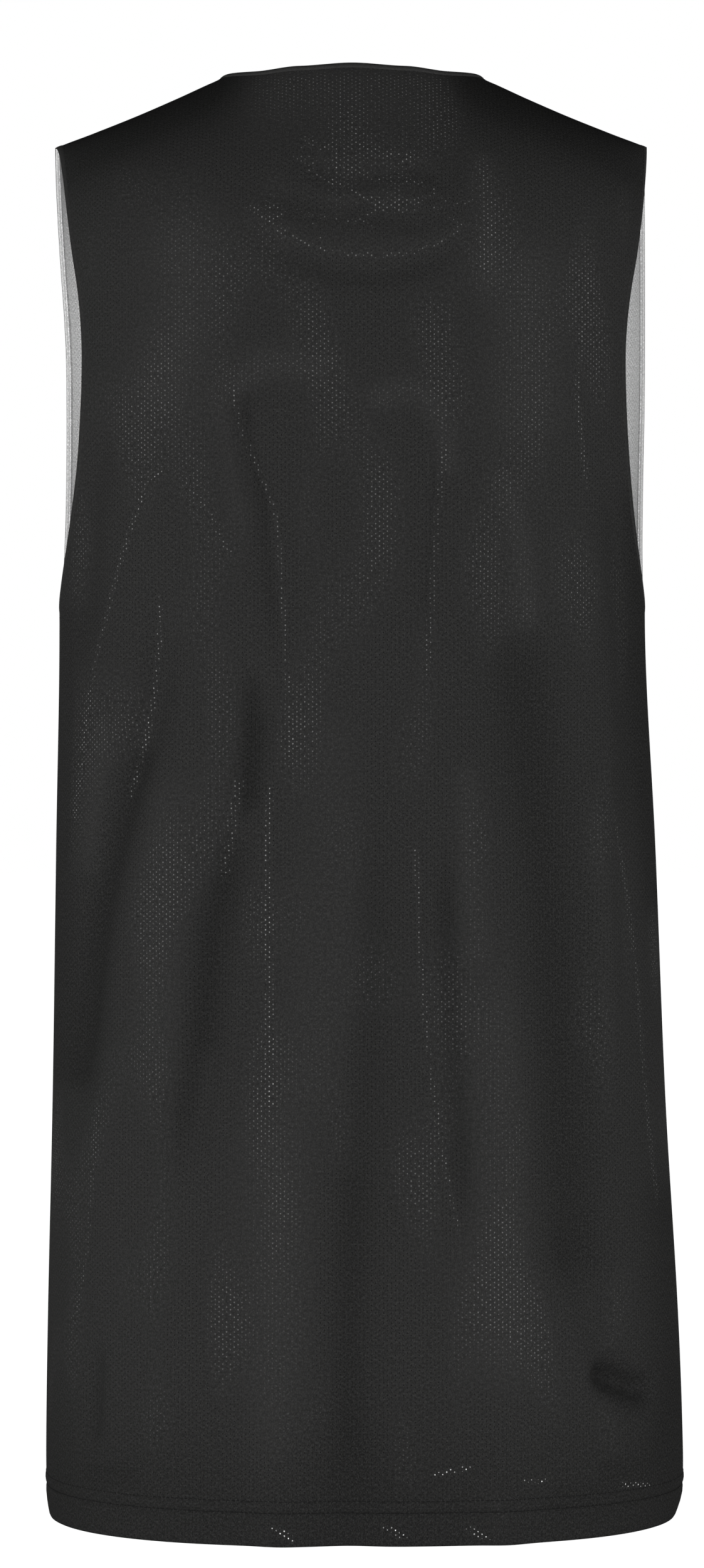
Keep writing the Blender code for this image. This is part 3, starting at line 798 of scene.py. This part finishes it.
# Across an edge, rim side last: how far from the rim, and how far out from its own layer's face. The dip
# is where the stitches pull it down
EDGE_SWELL = (
    (0.0056, -0.00060), (0.0053, -0.00010), (0.0050, -0.00015), (0.0046, -0.00040), (0.0042, -0.00005),
    (0.0035, 0.00042), (0.0023, 0.00062), (0.0011, 0.00048), (0.0004, 0.00005),
)
# At the neck the two facings meet at the rim. At the armholes the white one rolls over it
ROUND_RIM = ((0.0000, -0.00050), (-0.0002, -0.00090), (-0.0002, -MIDDLE))
MEETING = {
    ("neck_edge", "black"): ROUND_RIM,
    ("neck_edge", "white"): ROUND_RIM,
    ("armhole_edge", "black"): ((0.0002, -0.00030), (0.0006, -0.00060)),
    ("armhole_edge", "white"): ((0.0000, -0.00050), (-0.0003, -0.00100), (-0.0003, -0.00180),
                                (0.0000, -0.00235), (0.0005, -0.00215)),
}
EDGE_CORE = ((0.0010, -MIDDLE), (0.0050, -0.00080))
CROWNS = {"neck_edge": 1, "armhole_edge": 0.35}  # how much of the swell shows
# Painted light and shade on each facing's cloth, as on the panels: the black neck facing is painted
# paler, the white armhole facings darker
EDGE_PAINTED_SHADES = {
    ("neck_edge", "black"): 1.9,
    ("neck_edge", "white"): 0.0,
    ("armhole_edge", "black"): 0.2,
    ("armhole_edge", "white"): -1.2,
}

# The thread is twisted polyester in the colour of the layer that it lies on
thread = {}
for colour, shade in (("black", 0.008), ("white", 0.55)):
    material = bpy.data.materials.new(colour + "_thread")
    tree = begin(material)
    place = tree.node("TexCoord", {}, {}, "Object")
    twist = tree.node("TexNoise", {}, {"Vector": place, "Scale": 1500.0, "Detail": 1.0}, "Fac")
    colours = [[share * shade] * 3 for share in (0.75, 1.2)]
    shader = tree.node("BsdfPrincipled", {}, {
        "Base Color": twist.eased(0.35, 0.65).blend(*colours), "Roughness": 0.7,
        "Specular IOR Level": 0.0,
    })
    tree.node("OutputMaterial", {}, {"Surface": shader})
    thread[colour] = material


def unit(vectors):
    return vectors / np.linalg.norm(vectors, axis=-1, keepdims=True)


def onto_surface(points, normals):
    """Points moved along their normals onto the smooth surface of the panels."""
    low, high = np.full(points.shape[:-1], -0.008), np.full(points.shape[:-1], 0.004)
    for _ in range(16):
        middle = (low + high) / 2
        x, y, z = np.moveaxis(points + normals * middle[..., None], -1, 0)
        depth = np.where(y > 0, depth_at(BACK, x, z), depth_at(FRONT, x, z))
        within = (np.abs(x) < half_width(x, z)) & (np.abs(y) < depth)
        low, high = np.where(within, middle, low), np.where(within, high, middle)
    return points + normals * high[..., None]


def fold_at(points):
    x, y, z = np.moveaxis(points, -1, 0)
    return np.where(y > 0, fold_depth(BACK, x, z), fold_depth(FRONT, x, z))[..., None]


def rim_loop(edge):
    """A rim round an opening, in even steps, with the cloth's normals and the ways into the cloth."""
    back, front = (edge(smooth_grids[side]) for side in (BACK, FRONT))
    points = np.concatenate([back, front[-2:0:-1], back[:1]])
    back, front = (edge(folded_grids[side][1]) for side in (BACK, FRONT))
    normals = np.concatenate([back, front[-2:0:-1], back[:1]])
    for k, other in ((0, 0), (len(back) - 1, -1)):
        normals[k] = back[other] + front[other]
    normals[-1] = normals[0]
    run = np.r_[0, np.cumsum(np.linalg.norm(np.diff(points, axis=0), axis=1))]
    count = round(run[-1] / EDGE_STEP)
    at = np.arange(count) * run[-1] / count
    points, normals = (
        np.stack([np.interp(at, run, v[:, k]) for k in range(3)], -1) for v in (points, normals)
    )
    for _ in range(6):
        normals = unit(normals + (np.roll(normals, 1, 0) + np.roll(normals, -1, 0)) / 2)
    ahead = unit(np.roll(points, -1, 0) - np.roll(points, 1, 0))
    inward = unit(np.cross(normals, ahead))
    if ((points - points.mean(0)) * inward).sum() < 0:
        inward = -inward
    return points, normals, inward


def ring_faces(rings, around):
    """The quads of a closed tube, its rings one after the other and the last joined to the first."""
    index = np.arange(rings * around).reshape(rings, around)
    ahead, beside = np.roll(index, -1, 0), np.roll(index, -1, 1)
    return np.stack([index, beside, np.roll(ahead, -1, 1), ahead], -1).reshape(-1, 4)


STITCH_PITCH = 0.0028
THREAD_RADIUS = 0.00020
# The rings of one stitch: share of the way to the next stitch, height above the cloth, and thickness
STITCH_RINGS = (
    (0.00, -0.00030, 0.6), (0.12, 0.00004, 1.0), (0.40, 0.00020, 1.0), (0.68, 0.00004, 1.0),
    (0.80, -0.00030, 0.6),
)
STITCH_SIDES = 6
HEADWAY = 0.0003  # from a ring to the point it faces


def stitching(name, line, normals, material):
    """A closed line of stitches that rise from the cloth and dip back into it."""
    line, normals = (np.concatenate([v, v[:1]]) for v in (line, normals))
    run = np.r_[0, np.cumsum(np.linalg.norm(np.diff(line, axis=0), axis=1))]
    count = round(run[-1] / STITCH_PITCH)
    shares, heights, sizes = np.array(STITCH_RINGS).T
    at = ((np.arange(count)[:, None] + shares) * run[-1] / count).ravel()
    centre, normal, soon = (
        np.stack([np.interp(places % run[-1], run, v[:, k]) for k in range(3)], -1)
        for v, places in ((line, at), (normals, at), (line, at + HEADWAY))
    )
    ahead = unit(soon - centre)
    aside = np.cross(normal, ahead)
    turn = np.arange(STITCH_SIDES) * 2 * pi / STITCH_SIDES
    size = (np.tile(sizes, count) * THREAD_RADIUS)[:, None, None]
    centre = centre + normal * np.tile(heights, count)[:, None]
    points = centre[:, None] + size * (
        np.cos(turn)[:, None] * aside[:, None] + np.sin(turn)[:, None] * normal[:, None]
    )
    rings = len(STITCH_RINGS)
    index = np.arange(rings * STITCH_SIDES).reshape(rings, STITCH_SIDES)
    beside = np.roll(index, -1, 1)
    sides = np.stack([index[:-1], beside[:-1], beside[1:], index[1:]], -1).reshape(-1, 4)
    caps = [index[0, [3, 2, 1, 0]], index[0, [5, 4, 3, 0]]]
    caps += [index[-1, [0, 1, 2, 3]], index[-1, [0, 3, 4, 5]]]
    one = np.concatenate([sides, caps])
    faces = (one[None] + np.arange(count)[:, None, None] * rings * STITCH_SIDES).reshape(-1, 4)
    piece = sewn_piece(name, points, faces, material, {})
    return piece


for name, edge in EDGES.items():
    rim, normals, inward = rim_loop(edge)

    def across_edge(profile):
        """The loop of a rim, moved to each place of a profile across it."""
        lines = []
        for reach, lift in profile:
            line = onto_surface(rim + inward * reach, normals)
            lines.append(line + normals * (lift - fold_at(line)))
        return np.stack(lines, 1)

    kind = name.removesuffix("_left").removesuffix("_right")
    for colour in ("black", "white"):
        profile = [(reach, lift * CROWNS[kind] if lift > 0 else lift) for reach, lift in EDGE_SWELL]
        profile += MEETING[kind, colour] + EDGE_CORE
        if colour == "white":
            profile = [(reach, -2 * MIDDLE - lift) for reach, lift in profile]
        rings = across_edge(profile)
        x, y, z = np.moveaxis(rings, -1, 0)
        notes = {
            "grain": np.where(y[..., None] > 0, grain_of(BACK, x, z), grain_of(FRONT, x, z)),
            "streak_and_shade": np.stack([0 * x + FAR, 0 * x, 0 * x + EDGE_PAINTED_SHADES[kind, colour]], -1),
            "firm": np.ones_like(rings),
        }
        facing = sewn_piece(
            f"{name}_{colour}", rings, ring_faces(*rings.shape[:2]),
            {"black": black_mesh, "white": white_mesh}[colour], notes,
        )
        if colour == "black":
            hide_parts(name)
        lift = -STITCH_SINK if colour == "black" else STITCH_SINK - 2 * MIDDLE
        line = across_edge([(EDGE_STITCH, lift)])[:, 0]
        outward = normals if colour == "black" else -normals
        stitching(f"{name}_{colour}_stitches", line, outward, thread[colour])

# ---------------------------------------------------------------------------------------------
# Each layer has its own hem, turned up once inside and sewn by two needles. The black hem hangs
# just below the white one.
# ---------------------------------------------------------------------------------------------

HEM_WALL = 0.0020  # two layers of cloth
HEM_FIRM = 0.15  # the two layers of a hem close its holes a little
NEEDLE_ROWS = (0.0256, 0.0190)  # heights above the hem's fold
OUTSIDE_LEVELS = (-0.00005, -0.00030)  # of the cloth that each row is pulled down into
INSIDE_LEVEL = -0.00195
# Up the outside of a hem and down the inside: height above its fold, and how far out from the face
HEM_PROFILE = (
    (0.0266, -0.00060), (0.0260, -0.00010), (0.0256, -0.00010), (0.0250, 0.00020), (0.0238, 0.00050),
    (0.0222, 0.00060), (0.0206, 0.00040), (0.0196, 0.00000), (0.0190, -0.00040), (0.0184, 0.00000),
    (0.0170, 0.00034), (0.0140, 0.00050), (0.0090, 0.00052), (0.0045, 0.00046), (0.0018, 0.00030),
    (0.0005, -0.00010), (0.0000, -0.00090), (0.0003, -0.00160), (0.0012, -0.00205), (0.0045, -0.00225),
    (0.0140, -0.00225), (0.0190, -0.00195), (0.0222, -0.00220), (0.0256, -0.00195), (0.0266, -0.00170),
)


def hem_line(height, lift, rise):
    """A level line round the hem, its cloth's normals and its notes."""
    rows, directions, notes = [], [], []
    for side in (BACK, FRONT):
        levels = [level_row(side, HEM_Z + height + step, FINENESS) for step in (0, 0.002)]
        line, facing = folded(np.stack(levels), side)
        line, facing, smooth = line[0], facing[0], levels[0]
        note = [grain_of(side, smooth[:, 0], smooth[:, 2]), streaks(side, smooth[:, 0], smooth[:, 2])]
        note.append(np.full_like(smooth, HEM_FIRM))
        turn = slice(None, -1) if side == BACK else slice(None, 0, -1)
        rows.append(line[turn])
        directions.append(facing[turn])
        notes.append([v[turn] for v in note])
    line, directions = np.concatenate(rows), np.concatenate(directions)
    notes = [np.concatenate(pair) for pair in zip(*notes)]
    return line + directions * lift + [0, 0, rise], directions, notes


for name, colour, depth, rise in (
    ("outer_hem", "black", 0.0, 0.0),
    ("inner_hem", "white", HEM_WALL + LAYER_GAP, INNER_HEM_RISE),
):
    made = [hem_line(height, lift - depth, rise) for height, lift in HEM_PROFILE]
    rings = np.stack([line for line, _, _ in made], 1)
    notes = {
        note: np.stack([kept[k] for _, _, kept in made], 1)
        for k, note in enumerate(("grain", "streak_and_shade", "firm"))
    }
    cloth = {"black": black_mesh, "white": white_mesh}[colour]
    hem = sewn_piece(name + "_cloth", rings, ring_faces(*rings.shape[:2]), cloth, notes)
    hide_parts(name)
    for k, height in enumerate(NEEDLE_ROWS):
        for place, sign, level in (("outside", 1, OUTSIDE_LEVELS[k]), ("inside", -1, INSIDE_LEVEL)):
            line, directions, _ = hem_line(height, level - depth, rise)
            row_name = f"{name}_{place}_stitches_{k + 1}"
            stitching(row_name, line, sign * directions, thread[colour])
